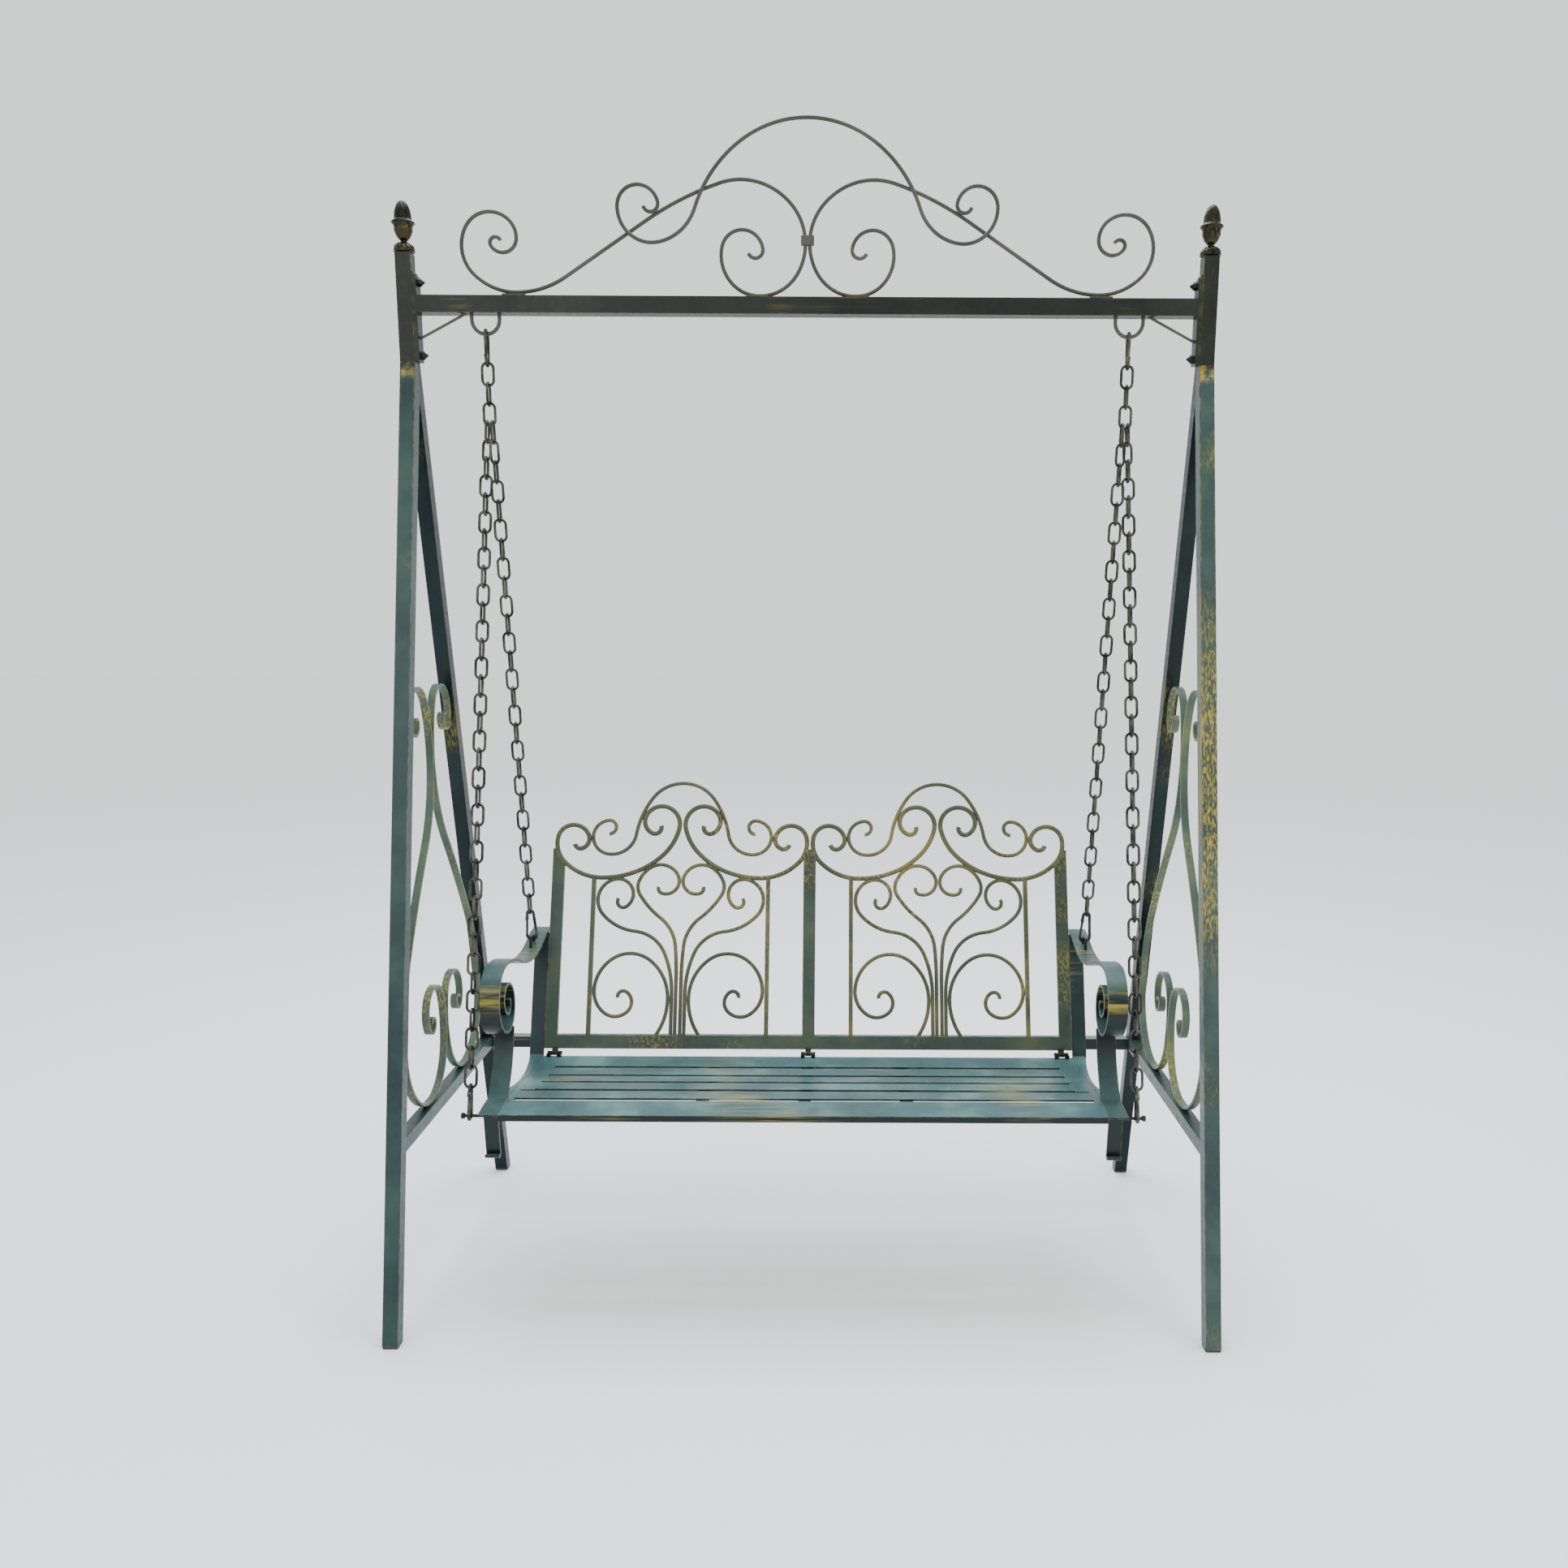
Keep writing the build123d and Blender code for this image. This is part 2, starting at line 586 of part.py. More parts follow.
# ---- arm supports: flat on the seat's corner, up to the scroll, and down as a short leg ----
SUPPORT_RISE = 40.0
SUPPORT_CURVE = [(215, 36)]
SUPPORT_OVER = 8.5  # runs on into the scroll, where it is cut to fit
LEG_WIDE = 26.0
LEG_LEAN = 6.0
LEG_LONG = 74.0
for side_name, side in SIDES.items():
    crease_z = SEAT_FRONT[1] + 4.6 - SHEET / 2 + 1
    with BuildPart() as support:
        edge = sorted((side * STRAP[0], side * STRAP[1]))
        add(SHEET_WIDE.intersect(upright_block(edge[0], edge[1], SEAT_FRONT[0] - 5, CREASE_Y)))
        with BuildLine(Plane.YZ.offset(side * ARM_MIDDLE)) as line:
            bar_path((CREASE_Y - 3, crease_z - 2), SUPPORT_RISE, SUPPORT_CURVE)
            tip = line.edges().sort_by(Axis.Z)[-1] @ 1
            lean = radians(SUPPORT_RISE + SUPPORT_CURVE[0][1])
            over = (tip.Y + SUPPORT_OVER * cos(lean), tip.Z + SUPPORT_OVER * sin(lean))
            Line((tip.Y, tip.Z), over)
        strip_along(line.wire(), STRAP_WIDE, SHEET)
        with BuildLine(Plane.YZ.offset(side * (STRAP[0] + LEG_WIDE / 2))) as line:
            top = (SEAT_FRONT[0] + 3.5, SEAT_FRONT[1] - 3)
            bar_path(top, 270 + LEG_LEAN, [(5, -200)], lead=LEG_LONG)
        strip_along(line.wire(), LEG_WIDE, SHEET)
        add(arms[side_name], mode=Mode.SUBTRACT)
    save(support, f"arm_support_{side_name}")

# ---- side bars: flat along the seat's edge, creased, then up behind to carry the armrest ----
SIDE_TOP = 632.4
BAR_FRONT = CREASE_Y + 7
BEND_Y = SEAT_REAR + 11  # where the flat part meets the rising part
STOP_LOW = 170.0
STOP_HIGH = 192.0
for side_name, side in SIDES.items():
    with BuildPart() as plan:
        with BuildSketch(Plane.XY.offset(SEAT_FRONT[1] - 60)):
            with BuildLine():
                Line((side * 552.3, BEND_Y), (side * SIDE_BAR[1], BEND_Y))
                ThreePointArc((side * SIDE_BAR[1], BEND_Y), (side * 564, -50), (side * 559, -125))
                ThreePointArc((side * 559, -125), (side * 567, -180), (side * 587, BAR_FRONT))
                Line((side * 587, BAR_FRONT), (side * 552.3, BAR_FRONT))
                Line((side * 552.3, BAR_FRONT), (side * 552.3, BEND_Y))
            make_face()
        extrude(amount=120)
    with BuildPart() as side_strip:
        add(SHEET_WIDE.intersect(plan.part))
        width = SIDE_BAR[1] - SIDE_BAR[0]
        low = (SEAT_FRONT[1] - 12.5 - BACK_FOOT[1]) / cos(radians(RECLINE))
        high = (SIDE_TOP + 4 - BACK_FOOT[1]) / cos(radians(RECLINE))
        with BuildSketch(BACK.offset(-2.5)):
            with Locations((side * (SIDE_BAR[0] + width / 2), (low + high) / 2)):
                Rectangle(width, high - low)
        extrude(amount=5)
        with Locations((side * 570, 170, SIDE_TOP + 15)):
            Box(60, 80, 30, mode=Mode.SUBTRACT)
        # stop behind the back's upright
        with BuildSketch(BACK.offset(-7.5)):
            with Locations((side * (SIDE_BAR[1] + 536) / 2, (STOP_LOW + STOP_HIGH) / 2)):
                Rectangle(SIDE_BAR[1] - 536, STOP_HIGH - STOP_LOW)
        extrude(amount=3)
        with BuildSketch(BACK.offset(-7.5)):
            with Locations((side * (SIDE_BAR[0] + width / 2 + 0.5), (STOP_LOW + STOP_HIGH) / 2)):
                Rectangle(width - 1, STOP_HIGH - STOP_LOW)
        extrude(amount=5.2)
    save(side_strip, f"seat_side_bar_{side_name}")

# ---- pins under the front corners and staples on the armrests, for the lower hooks ----
PIN_X = 606.0
PIN_Y = -286.0
PIN_Z = 396.3
PIN_ROD = 6.0
PIN_ROOT = 580.0
PIN_END = 618.0
PIN_HEAD = 5.5
PIN_HEAD_LONG = 6.0
with BuildPart() as chain_pins:
    for side in (-1, 1):
        with Locations((side * (PIN_ROOT + PIN_END) / 2, PIN_Y, PIN_Z)):
            Cylinder(PIN_ROD / 2, PIN_END - PIN_ROOT, rotation=(0, 90, 0))
        with Locations((side * PIN_END, PIN_Y, PIN_Z)):
            Cylinder(PIN_HEAD, PIN_HEAD_LONG, rotation=(0, 90, 0))
        with BuildLine(Plane.YZ.offset(side * STAPLE_X)) as line:
            foot_z = STAPLE_Z - 26
            bar_path((STAPLE_Y + STAPLE_HALF, foot_z), 90, [(6, 90)], lead=20)
            Line((STAPLE_Y + STAPLE_HALF - 6, STAPLE_Z), (STAPLE_Y - STAPLE_HALF + 6, STAPLE_Z))
            JernArc(start=(STAPLE_Y - STAPLE_HALF + 6, STAPLE_Z), tangent=(-1, 0), radius=6, arc_size=90)
            Line((STAPLE_Y - STAPLE_HALF, STAPLE_Z - 6), (STAPLE_Y - STAPLE_HALF, foot_z))
        rod_along(line.wire(), STAPLE_ROD)
    for arm in arms.values():
        add(arm, mode=Mode.SUBTRACT)
pins = [s for s in chain_pins.part.solids() if s.center().Z > STAPLE_Z - 20 or s.center().Z < 450]
with BuildPart() as chain_anchors:
    for solid in pins:
        add(solid)
save(chain_anchors, "chain_anchors")

SECOND_TWIST = 35.0  # the second links turn so that the two strands pass each other

# ---- four strands from the junction links to the seat's pins and the arm staples ----
STRANDS = {
    "front": ((PIN_X, PIN_Y, PIN_Z), PIN_ROD, 36, 1, 0),
    "rear": ((STAPLE_X, STAPLE_Y, STAPLE_Z), STAPLE_ROD, 27, -1, 90),
}
for side_name, side in SIDES.items():
    for strand_name, (anchor, rod, count, lane, hook_twist) in STRANDS.items():
        low = Vector(side * anchor[0], anchor[1], anchor[2])
        high = Vector(side * (HANG_X + lane * STRAND_SHIFT), 0, JUNCTION_Z)
        run = (high - low).normalized()
        reach = hook_reach(rod)
        pitch = ((high - low).length + JUNCTION_RISE - reach - LINK_SPAN) / (count - 1)
        with BuildPart() as strand:
            for index in range(count):
                centre = low + run * (reach + index * pitch + LINK_SPAN / 2)
                twist = 90 * ((count - index) % 2)
                if index == count - 2:
                    twist = side * SECOND_TWIST
                link_at(strand_plane(centre, run, twist))
        save(strand, f"chain_{strand_name}_{side_name}")
        across = strand_plane(low, run, 90 if hook_twist == 0 else 0)
        save(make_hook(across, rod), f"hook_{strand_name}_{side_name}")
        save(make_gate(across, rod), f"gate_{strand_name}_{side_name}")

# ---- back: uprights and bottom rail of flat bar ----
BACK_HALF = 550.0
UPRIGHT = 26.0
UPRIGHT_TOP = 430.0
BACK_LOW = 5.0
BACK_RAIL = 28.0
RAIL_ROD = 10.0
SCROLL_ROD = 8.0
PANEL_X = 274.5
RAIL_LOW = (-168.6, 367)
RAIL_UP = [(198, 21), (171, 24), (115.5, 32), (40.6, 80), (37, 84), (29.4, 90), (14, 131)]
RAIL_OUT = [(115.5, -46), (59.3, -56), (33.3, -75), (35.6, -72), (22.1, -87), (12.7, -98)]


def back_plane(x):
    """Reclining plane of the back with its origin moved sideways."""
    origin = BACK.from_local_coords((x, 0, 0))
    return Plane(origin=origin, x_dir=BACK.x_dir, z_dir=BACK.z_dir)


with BuildPart() as back_rails:
    for centre in (-PANEL_X, PANEL_X):
        for flip in (False, True):
            for heading, arcs in ((0, RAIL_UP), (180, RAIL_OUT)):
                with BuildLine(back_plane(centre)) as line:
                    bar_path(RAIL_LOW, heading, arcs, flip)
                rod_along(line.wire(), RAIL_ROD)
save(back_rails, "back_rails")

FRAME_PIECE = 10000.0  # more than the corners a rail cuts off, cubic millimetres
with BuildPart() as flat_bars:
    with BuildSketch(BACK.offset(-BACK_THICK / 2)):
        with Locations((0, BACK_LOW + BACK_RAIL / 2)):
            Rectangle(2 * BACK_HALF, BACK_RAIL)
        outer = BACK_HALF - UPRIGHT / 2
        foot = BACK_LOW + BACK_RAIL + SEAM
        with Locations(*[(x, (foot + UPRIGHT_TOP) / 2) for x in (-outer, 0, outer)]):
            Rectangle(UPRIGHT, UPRIGHT_TOP - foot)
    extrude(amount=BACK_THICK)
    add(back_rails.part, mode=Mode.SUBTRACT)
with BuildPart() as back_frame:
    for solid in flat_bars.part.solids():
        if solid.volume > FRAME_PIECE:
            add(solid)
save(back_frame, "back_frame")

# ---- small arches over the panels ----
BACK_ARCH_TOP = (0, 575)
BACK_ARCH = [(81.8, 54), (184, 27), (52, -92), (38.4, -86), (35.4, -79), (14.8, -182)]
with BuildPart() as back_arches:
    for centre in (-PANEL_X, PANEL_X):
        for flip in (False, True):
            with BuildLine(back_plane(centre)) as line:
                bar_path(BACK_ARCH_TOP, 180, BACK_ARCH, flip)
            rod_along(line.wire(), SCROLL_ROD)
    add(back_rails.part, mode=Mode.SUBTRACT)
save(back_arches, "back_arches")

# ---- panel filling: a heart, two side scrolls, two low scrolls, two plain bars ----
RAIL_TOP_EDGE = BACK_LOW + BACK_RAIL
HEART = (-5.3, 150)
HEART_CURVE = [
    (731, 5.5),
    (87, 47),
    (184, -21),
    (33.2, -53),
    (60.3, -37),
    (40.9, -97),
    (27.8, -133),
    (11.2, -88),
]
SPRAY = (-13.9, 120)
SPRAY_CURVE = [(217, 23), (77.7, 61), (108.3, -42), (49, -43), (45, -75), (32.9, -158), (12.4, -163)]
CURL = (-177, 125)
CURL_UP = [(81.8, -57), (67.5, -70), (101.2, -48), (131.8, -40)]
CURL_IN = [(57.2, 54), (37.2, 81), (26.9, 98), (12, 137)]
PLAIN_BAR = 9.0
PLAIN_X = 186.0
PLAIN_TOP = 373.0
for side_name, side in SIDES.items():
    plane = back_plane(side * PANEL_X)
    with BuildPart() as panel:
        for flip in (False, True):
            for start, curve in ((HEART, HEART_CURVE), (SPRAY, SPRAY_CURVE)):
                foot = -start[0] if flip else start[0]
                with BuildLine(plane) as line:
                    Line((foot, RAIL_TOP_EDGE), (foot, start[1]))
                    bar_path(start, 90, curve, flip)
                rod_along(line.wire(), SCROLL_ROD)
            for heading, curve in ((90, CURL_UP), (270, CURL_IN)):
                with BuildLine(plane) as line:
                    bar_path(CURL, heading, curve, flip)
                rod_along(line.wire(), SCROLL_ROD)
        add(back_frame.part, mode=Mode.SUBTRACT)
        add(back_rails.part, mode=Mode.SUBTRACT)
    save(panel, f"panel_scrolls_{side_name}")

with BuildPart() as panel_bars:
    with BuildSketch(BACK.offset(-PLAIN_BAR / 2)):
        xs = [s * PANEL_X + t * PLAIN_X for s in (-1, 1) for t in (-1, 1)]
        with Locations(*[(x, (RAIL_TOP_EDGE + PLAIN_TOP) / 2) for x in xs]):
            Rectangle(PLAIN_BAR, PLAIN_TOP - RAIL_TOP_EDGE)
    extrude(amount=PLAIN_BAR)
    add(back_rails.part, mode=Mode.SUBTRACT)
WHOLE_BAR = 5000.0  # more than the stubs a rail cuts off, cubic millimetres
whole_bars = [s for s in panel_bars.part.solids() if s.volume > WHOLE_BAR]
with BuildPart() as plain_bars:
    for solid in whole_bars:
        add(solid)
save(plain_bars, "panel_bars")

# ---- three barrel hinges: knuckles on the seat with a pin, one knuckle on the back ----
HINGE_XS = (-527, 0, 527)
HINGE_Y = 60.0
HINGE_Z = 397.5
KNUCKLE_R = 4.5
KNUCKLE_HALF = 6.0
KNUCKLE_END = 15.0
HINGE_PIN_R = 2.0
HINGE_BORE_R = 2.06
SIDE_AIR = 0.4
with BuildPart() as seat_hinges:
    for x in HINGE_XS:
        for lower in (x - KNUCKLE_END, x + KNUCKLE_HALF + SIDE_AIR):
            with BuildSketch(Plane.YZ.offset(lower)):
                with Locations((HINGE_Y, HINGE_Z)):
                    Circle(KNUCKLE_R)
                with Locations((HINGE_Y - 7, HINGE_Z - 1)):
                    Rectangle(14, 5)
            extrude(amount=KNUCKLE_END - KNUCKLE_HALF - SIDE_AIR)
        with BuildSketch(Plane.YZ.offset(x - KNUCKLE_END)):
            with Locations((HINGE_Y, HINGE_Z)):
                Circle(HINGE_PIN_R)
        extrude(amount=2 * KNUCKLE_END)
    add(seat_frame.part, mode=Mode.SUBTRACT)
save(seat_hinges, "seat_hinges")

with BuildPart() as back_hinges:
    for x in HINGE_XS:
        with BuildSketch(Plane.YZ.offset(x - KNUCKLE_HALF)):
            with Locations((HINGE_Y, HINGE_Z)):
                Circle(KNUCKLE_R)
            with BuildLine():
                Polyline(
                    (HINGE_Y - 1.5, HINGE_Z + 3),
                    (HINGE_Y + 4.4, HINGE_Z + 12),
                    (HINGE_Y + 12, HINGE_Z + 9),
                    (HINGE_Y + 4, HINGE_Z - 1),
                    (HINGE_Y - 1.5, HINGE_Z + 3),
                )
            make_face()
            with Locations((HINGE_Y, HINGE_Z)):
                Circle(HINGE_BORE_R, mode=Mode.SUBTRACT)
        extrude(amount=2 * KNUCKLE_HALF)
    add(back_frame.part, mode=Mode.SUBTRACT)
save(back_hinges, "back_hinges")
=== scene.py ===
# %% [markdown]
# # A painted steel porch swing
# The frame of this swing is already a set of exact solids: legs, beam, chains, seat and
# back. What is left to do here is what a steel garden swing looks like: thick antique
# enamel with brass coloured wax rubbed through it, cast finials, dull chain. The first
# step loads the solids.

import math

import bpy
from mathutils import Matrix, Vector


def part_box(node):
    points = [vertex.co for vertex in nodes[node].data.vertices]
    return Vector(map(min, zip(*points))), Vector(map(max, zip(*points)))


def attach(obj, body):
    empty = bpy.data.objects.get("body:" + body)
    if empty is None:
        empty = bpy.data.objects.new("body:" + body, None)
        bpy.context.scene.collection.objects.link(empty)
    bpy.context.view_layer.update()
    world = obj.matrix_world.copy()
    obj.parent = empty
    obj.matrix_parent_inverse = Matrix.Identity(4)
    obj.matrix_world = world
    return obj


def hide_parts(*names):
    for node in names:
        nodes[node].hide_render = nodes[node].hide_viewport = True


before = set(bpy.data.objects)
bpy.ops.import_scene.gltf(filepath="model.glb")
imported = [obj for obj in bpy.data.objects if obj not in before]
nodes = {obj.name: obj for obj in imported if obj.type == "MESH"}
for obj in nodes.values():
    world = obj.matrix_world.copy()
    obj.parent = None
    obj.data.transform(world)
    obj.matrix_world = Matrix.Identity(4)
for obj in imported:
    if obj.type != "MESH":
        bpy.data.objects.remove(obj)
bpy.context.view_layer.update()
scene = bpy.context.scene

# %% [markdown]
# Colours are written the way a paint chart gives them, as sRGB hex values. Blender's
# shaders work in linear light, so one helper does the conversion for every colour. A
# second helper adds one node to a material with its settings and its incoming links, so
# that each material below reads as a short list of steps.


# %% Helpers for colours, nodes and selection
def linear(hex_value):
    """sRGB hex such as "4a6b6b" to linear RGBA."""
    parts = [int(hex_value[i : i + 2], 16) / 255 for i in (0, 2, 4)]
    return tuple(v / 12.92 if v <= 0.04045 else ((v + 0.055) / 1.055) ** 2.4 for v in parts) + (1.0,)


def add_node(material, kind, settings=None, inputs=None):
    """Adds a node; inputs maps a socket to a value or to another node's output socket."""
    tree = material.node_tree
    made = tree.nodes.new(kind)
    for key, value in (settings or {}).items():
        setattr(made, key, value)
    for key, value in (inputs or {}).items():
        if isinstance(value, bpy.types.NodeSocket):
            tree.links.new(value, made.inputs[key])
        else:
            made.inputs[key].default_value = value
    return made


def ramp(material, factor, stops):
    """A colour ramp over a factor, with stops of (place, colour)."""
    made = add_node(material, "ShaderNodeValToRGB", inputs={"Fac": factor})
    points = made.color_ramp.elements
    while len(points) < len(stops):
        points.new(1.0)
    for point, (place, colour) in zip(points, stops):
        point.position = place
        point.color = colour
    return made.outputs["Color"]


def deselect_all():
    """Leaves edit mode if needed and selects nothing."""
    if bpy.context.object and bpy.context.object.mode != "OBJECT":
        bpy.ops.object.mode_set(mode="OBJECT")
    bpy.ops.object.select_all(action="DESELECT")


print("teal enamel in linear light:", [round(v, 3) for v in linear("4a6567")])

# %% [markdown]
# The camera stands in front of the swing, a little above seat level and slightly to the
# right of the middle, and looks down by about ten degrees. A 29 mm lens on a full frame
# sensor gives the mild wide view that makes the front legs lean. The small shift only
# recentres the picture, and depth of field stays off.

# %% Camera
camera_data = bpy.data.cameras.new("front_camera")
camera = bpy.data.objects.new("front_camera", camera_data)
scene.collection.objects.link(camera)
camera.location = (0.0602, -2.4953, 1.274)
camera.rotation_euler = (math.pi / 2 - 0.177, -0.0046, -0.0006)
camera_data.sensor_width = 36.0
camera_data.lens = 29.436
camera_data.shift_x = -0.0355
camera_data.shift_y = 0.0458
scene.camera = camera
print("camera at", tuple(camera.location), "lens", camera_data.lens)

# %% [markdown]
# The floor is one pale plane and the room is a pale, slightly cool sky. A big soft panel
# over the swing lights everything that faces up, which is what turns the seat and the
# armrests pale blue, and a weaker panel in front fills the shade. A low warm panel at
# the right grazes the front faces and brings out the brass.

# %% Floor and soft studio light
deselect_all()
bpy.ops.mesh.primitive_plane_add(size=60, location=(0, 0, 0))
floor = bpy.context.object
floor.name = "studio_floor"

floor_paint = bpy.data.materials.new("pale_studio_floor")
floor_paint.use_nodes = True
floor_shader = floor_paint.node_tree.nodes["Principled BSDF"]
floor_shader.inputs["Base Color"].default_value = linear("fdfdfd")
floor_shader.inputs["Roughness"].default_value = 0.9
floor.data.materials.append(floor_paint)

world = bpy.data.worlds.new("pale_sky")
world.use_nodes = True
scene.world = world
world.node_tree.nodes["Background"].inputs["Color"].default_value = linear("f6f8fa")
world.node_tree.nodes["Background"].inputs["Strength"].default_value = 1.35


def soft_panel(name, place, target, size, watts, colour):
    """A square area light that faces a point."""
    light = bpy.data.lights.new(name, "AREA")
    light.shape = "SQUARE"
    light.size = size
    light.energy = watts
    light.color = linear(colour)[:3]
    lamp = bpy.data.objects.new(name, light)
    scene.collection.objects.link(lamp)
    lamp.location = place
    lamp.rotation_euler = (Vector(target) - Vector(place)).to_track_quat("-Z", "Y").to_euler()
    return lamp


soft_panel("overhead_panel", (0.0, 0.6, 4.6), (0, 0, 0.4), 3.0, 210, "e2f1ff")
soft_panel("front_panel", (-1.6, -3.6, 2.6), (0, 0, 1.0), 2.0, 30, "ffffff")
soft_panel("side_panel", (2.8, -2.6, 1.6), (0.4, 0, 0.9), 1.2, 40, "fff0d0")

# %% [markdown]
# ## Antique enamel with rubbed brass
# The steel is sprayed with a grey-teal enamel, and then a brass coloured wax is rubbed on
# by hand. The wax stays on the sharp edges and in long strokes on the flats, mostly on
# the parts that face the front. It is built in three layers that mix by masks:
# the enamel with soft clouds of lighter and darker teal; the strokes, which are a noise
# stretched along the bar and switched on only where a slow noise says so; and the edges,
# found by comparing the true normal with a rounded one. A paint is a plastic, so the
# enamel is not metallic, and the wax is, because it is full of bronze flakes.


# %% The enamel
def soft_noise(material, vector, scale, detail=3.0, roughness=0.55):
    made = add_node(
        material,
        "ShaderNodeTexNoise",
        {"noise_dimensions": "3D"},
        {"Vector": vector, "Scale": scale, "Detail": detail, "Roughness": roughness},
    )
    return made.outputs["Fac"]


def math_step(material, operation, first, second=0.0, clamp=True):
    made = add_node(material, "ShaderNodeMath", {"operation": operation, "use_clamp": clamp}, {0: first, 1: second})
    return made.outputs[0]


def blend_colours(material, factor, first, second):
    made = add_node(material, "ShaderNodeMix", {"data_type": "RGBA"})
    tree = material.node_tree
    for socket, value in ((0, factor), (6, first), (7, second)):
        if isinstance(value, bpy.types.NodeSocket):
            tree.links.new(value, made.inputs[socket])
        else:
            made.inputs[socket].default_value = value
    return made.outputs[2]


def antique_enamel(name, mid, deep, pale, stroke_stretch, rubbed=0.5, edge=0.6, wax="b0982c", glint=0.2,
                   shaded_sides=None, band=None):
    """Enamel over steel. Wax strokes are stretched along one direction (x, y, z). The sides
    colour is painted shade on faces that don't look up. band is a height range, with its fade, where the wax shows
    most: real rubbing on a leg, a painted highlight along the top of the arms."""
    paint = bpy.data.materials.new(name)
    paint.use_nodes = True
    shader = paint.node_tree.nodes["Principled BSDF"]
    place = add_node(paint, "ShaderNodeTexCoord").outputs["Object"]
    # clouds about 120 mm across, and sprayed mottling of about 9 mm
    clouds = soft_noise(paint, place, 8.0)
    mottle = soft_noise(paint, place, 110.0, 4.0)
    base = ramp(paint, clouds, [(0.33, linear(deep)), (0.52, linear(mid)), (0.70, linear(pale))])
    mottle_and_shade = blend_colours(paint, math_step(paint, "MULTIPLY", mottle, 0.35), base, linear(pale))
    if shaded_sides:
        # painted shade: faces whose normal doesn't point up are blended towards the darker colour
        facing = add_node(paint, "ShaderNodeTexCoord").outputs["Normal"]
        upward = add_node(paint, "ShaderNodeSeparateXYZ", inputs={0: facing}).outputs["Z"]
        lit = ramp(paint, upward, [(0.30, (0, 0, 0, 1)), (0.75, (1, 1, 1, 1))])
        mottle_and_shade = blend_colours(paint, lit, linear(shaded_sides), mottle_and_shade)
    # wax strokes: about 3 mm wide and 90 mm long, in patches of about 200 mm
    along = add_node(paint, "ShaderNodeMapping", inputs={"Vector": place, "Scale": stroke_stretch}).outputs[0]
    fine = soft_noise(paint, along, 1.0, 2.5, 0.6)
    patches = soft_noise(paint, place, 4.5, 2.0)
    open_patch = math_step(paint, "MULTIPLY_ADD", patches, 5.0, False)
    open_patch.node.inputs[2].default_value = -3.05 + rubbed
    open_patch.node.use_clamp = True
    # a height band where the wax shows most: real rubbing on the right front leg, and on the arms a painted
    # highlight along their top
    if band:
        height = add_node(paint, "ShaderNodeSeparateXYZ", inputs={0: place}).outputs["Z"]
        low, high, fade = band
        stops = [(low - fade, 0.0), (low, 0.9), (high, 0.9), (high + fade, 0.0)]
        rub_and_glint_band = ramp(
            paint, math_step(paint, "MULTIPLY", height, 0.5), [(z / 2, (v, v, v, 1)) for z, v in stops]
        )
        open_patch = math_step(paint, "MAXIMUM", open_patch, rub_and_glint_band)
    fine_edge = ramp(paint, fine, [(0.46, (0, 0, 0, 1)), (0.70, (0.85, 0.85, 0.85, 1))])
    strokes = math_step(paint, "MULTIPLY", open_patch, fine_edge)
    # worn edges: a bevel normal differs from the true one near a corner; its radius stays
    # under the 1.5 mm wall of the tubes, or it would meet the inside of the wall as well
    rounded = add_node(paint, "ShaderNodeBevel", {"samples": 4}, {"Radius": 0.0013}).outputs["Normal"]
    true_normal = add_node(paint, "ShaderNodeNewGeometry").outputs["Normal"]
    same = add_node(paint, "ShaderNodeVectorMath", {"operation": "DOT_PRODUCT"}, {0: rounded, 1: true_normal})
    near_edge = ramp(paint, same.outputs["Value"], [(0.88, (1, 1, 1, 1)), (0.985, (0, 0, 0, 1))])
    ragged = ramp(paint, soft_noise(paint, place, 60.0, 4.0), [(0.42, (0, 0, 0, 1)), (0.60, (1, 1, 1, 1))])
    worn = math_step(paint, "MULTIPLY", math_step(paint, "MULTIPLY", near_edge, ragged), edge)
    wax_and_glint_mask = math_step(paint, "MAXIMUM", strokes, worn)
    colour = blend_colours(paint, wax_and_glint_mask, mottle_and_shade, linear(wax))
    tree = paint.node_tree
    tree.links.new(colour, shader.inputs["Base Color"])
    tree.links.new(math_step(paint, "MULTIPLY", wax_and_glint_mask, 0.55), shader.inputs["Metallic"])
    gloss = ramp(paint, mottle, [(0.30, (0.30, 0.30, 0.30, 1)), (0.75, (0.48, 0.48, 0.48, 1))])
    tree.links.new(gloss, shader.inputs["Roughness"])
    shader.inputs["IOR"].default_value = 1.5
    shader.inputs["Specular IOR Level"].default_value = glint
    shader.inputs["Coat Weight"].default_value = 0.06
    shader.inputs["Coat Roughness"].default_value = 0.25
    # orange peel of the spray, a few hundredths of a millimetre deep
    peel = soft_noise(paint, place, 420.0, 2.0)
    bump = add_node(
        paint, "ShaderNodeBump", inputs={"Height": math_step(paint, "ADD", peel, wax_and_glint_mask, False), "Distance": 0.00006, "Normal": rounded}
    )
    bump.inputs["Strength"].default_value = 0.6
    tree.links.new(bump.outputs["Normal"], shader.inputs["Normal"])
    return paint


print("antique_enamel is ready")
